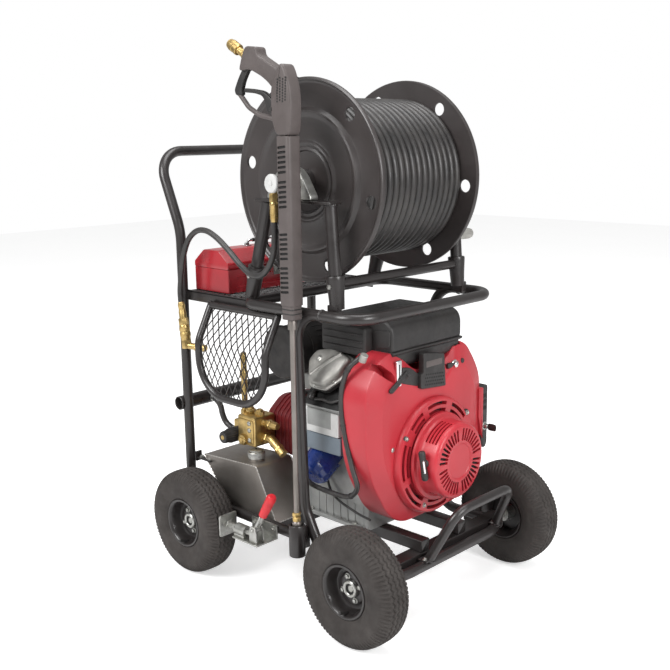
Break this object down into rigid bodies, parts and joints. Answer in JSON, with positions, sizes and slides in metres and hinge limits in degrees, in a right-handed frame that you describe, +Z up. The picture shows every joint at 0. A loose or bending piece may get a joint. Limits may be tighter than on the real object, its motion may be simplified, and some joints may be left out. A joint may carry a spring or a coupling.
{
  "type": "pressure washer",
  "caption": "Engine-driven pressure washer on a four-wheel cart with push handle, hose reel, tool box, fuel tank, wheel brake and a spray gun standing in its socket.",
  "frame": {"origin": "middle of the bounding box's bottom, on the ground", "axes": "+X towards the engine's starter, -Y the side with the spray gun, +Z up"},
  "size_m": [0.8776, 0.6726, 1.2993],
  "materials": {
    "black_paint": "satin",
    "tyre_rubber": "matte",
    "hose_rubber": "satin",
    "zinc": "satin",
    "brass": "satin",
    "red_plastic": "gloss",
    "red_paint": "gloss",
    "red_grip": "matte",
    "black_plastic": "matte",
    "engine_alloy": "satin",
    "tank_metal": "brushed",
    "filter_blue": "gloss",
    "cast_zinc": "satin"
  },
  "bodies": {
    "cart": {"air_cleaner": "black_plastic", "brake_base": "zinc", "bumper": "black_paint", "bypass_hose": "hose_rubber", "control_box": "black_plastic", "deck_back_bar": "black_paint", "deck_front_bar": "black_paint", "drop_guard": "black_paint", "engine_block": "engine_alloy", "engine_cradle": "black_paint", "fan_shroud": "red_plastic", "feed_hose": "hose_rubber", "front_axle_beam": "black_paint", "fuel_tank": "tank_metal", "hoop_far": "black_paint", "hoop_near": "black_paint", "lance_socket": "black_paint", "main_frame_tube": "black_paint", "muffler": "black_paint", "oil_filter": "filter_blue", "pump_crankcase": "red_paint", "pump_manifold": "brass", "quick_coupler": "brass", "rear_axle_beam": "black_paint", "rear_cross_tube": "black_paint", "recoil_cover": "red_plastic", "reel_bearing_far": "cast_zinc", "reel_bearing_near": "cast_zinc", "reel_stand": "black_paint", "shelf": "black_paint", "swivel": "brass", "toolbox_body": "red_paint"},
    "reel": {"reel_flange_near": "black_paint", "reel_flange_far": "black_paint", "reel_drum": "black_paint", "hose_pack": "hose_rubber", "crank_arm": "black_paint"},
    "crank_handle": {"crank_grip": "black_plastic"},
    "gun": {"gun_body": "black_plastic", "lance_grip": "black_plastic", "lance_tube": "zinc", "gun_coupler": "brass"},
    "gun_trigger": {"trigger": "black_plastic"},
    "lid": {"toolbox_lid": "red_paint"},
    "latch": {"toolbox_latch": "zinc"},
    "tank_cap": {"fuel_cap": "zinc"},
    "brake_lever": {"brake_handle": "red_grip"},
    "brake_pad": {"brake_plunger": "zinc"},
    "pressure_knob": {"unloader_knob": "black_plastic"},
    "key": {"ignition_key": "black_plastic"},
    "throttle": {"throttle_lever": "black_plastic"},
    "starter_handle": {"pull_handle": "black_plastic"},
    "wheel_rear_near": {"tyre_rear_near": "tyre_rubber", "rim_rear_near": "black_paint"},
    "wheel_rear_far": {"tyre_rear_far": "tyre_rubber", "rim_rear_far": "black_paint"},
    "wheel_front_near": {"tyre_front_near": "tyre_rubber", "rim_front_near": "black_paint"},
    "wheel_front_far": {"tyre_front_far": "tyre_rubber", "rim_front_far": "black_paint"}
  },
  "joints": [
    {"name": "wheel_rear_near_spin", "type": "hinge", "parent": "cart", "child": "wheel_rear_near", "pos_m": [-0.2547, -0.29225, 0.1325], "axis": [0, 1, 0], "continuous": true},
    {"name": "wheel_rear_far_spin", "type": "hinge", "parent": "cart", "child": "wheel_rear_far", "pos_m": [-0.2547, 0.29225, 0.1325], "axis": [0, 1, 0], "continuous": true},
    {"name": "wheel_front_near_spin", "type": "hinge", "parent": "cart", "child": "wheel_front_near", "pos_m": [0.3063, -0.29225, 0.1325], "axis": [0, 1, 0], "continuous": true},
    {"name": "wheel_front_far_spin", "type": "hinge", "parent": "cart", "child": "wheel_front_far", "pos_m": [0.3063, 0.29225, 0.1325], "axis": [0, 1, 0], "continuous": true},
    {"name": "reel_spin", "type": "hinge", "parent": "cart", "child": "reel", "pos_m": [0.05681, 0, 0.99], "axis": [0, 1, 0], "continuous": true},
    {"name": "crank_handle_spin", "type": "hinge", "parent": "reel", "child": "crank_handle", "pos_m": [0.1506, 0.292, 0.83989], "axis": [0, 1, 0], "continuous": true},
    {"name": "gun_lift", "type": "slide", "parent": "cart", "child": "gun", "axis": [0, 0, 1], "range_m": [0, 0.09]},
    {"name": "trigger_pull", "type": "hinge", "parent": "gun", "child": "gun_trigger", "pos_m": [0.08081, -0.278, 1.1473], "axis": [0, 1, 0], "range_deg": [0, 12], "stiffness_Nm_per_rad": 0.4},
    {"name": "lid_open", "type": "hinge", "parent": "cart", "child": "lid", "pos_m": [-0.3172, 0, 0.77054], "axis": [0, -1, 0], "range_deg": [0, 100]},
    {"name": "latch_open", "type": "hinge", "parent": "lid", "child": "latch", "pos_m": [-0.18419, -0.042, 0.78054], "axis": [0, -1, 0], "range_deg": [0, 90]},
    {"name": "tank_cap_turn", "type": "hinge", "parent": "cart", "child": "tank_cap", "pos_m": [-0.1392, -0.175, 0.3], "axis": [0, 0, 1], "range_deg": [0, 120]},
    {"name": "brake_lever_throw", "type": "hinge", "parent": "cart", "child": "brake_lever", "pos_m": [-0.01317, -0.29225, 0.174], "axis": [0, -1, 0], "range_deg": [0, 75]},
    {"name": "brake_pad_travel", "type": "slide", "parent": "cart", "child": "brake_pad", "axis": [1, 0, 0], "range_m": [0, 0.025]},
    {"name": "pressure_knob_turn", "type": "hinge", "parent": "cart", "child": "pressure_knob", "pos_m": [-0.2265, -0.16, 0.337], "axis": [0, 1, 0], "range_deg": [0, 300]},
    {"name": "key_turn", "type": "hinge", "parent": "cart", "child": "key", "pos_m": [0.2878, 0.2213, 0.372], "axis": [1, 0, 0], "range_deg": [-90, 0]},
    {"name": "throttle_swing", "type": "hinge", "parent": "cart", "child": "throttle", "pos_m": [0.2878, -0.096, 0.566], "axis": [1, 0, 0], "range_deg": [-12, 12]},
    {"name": "starter_pull", "type": "slide", "parent": "cart", "child": "starter_handle", "axis": [0, -1, 0], "range_m": [0, 0.25]}
  ],
  "couplings": [
    {"joint": "brake_pad_travel", "follows": "brake_lever_throw", "m_per_rad": 0.019099}
  ]
}
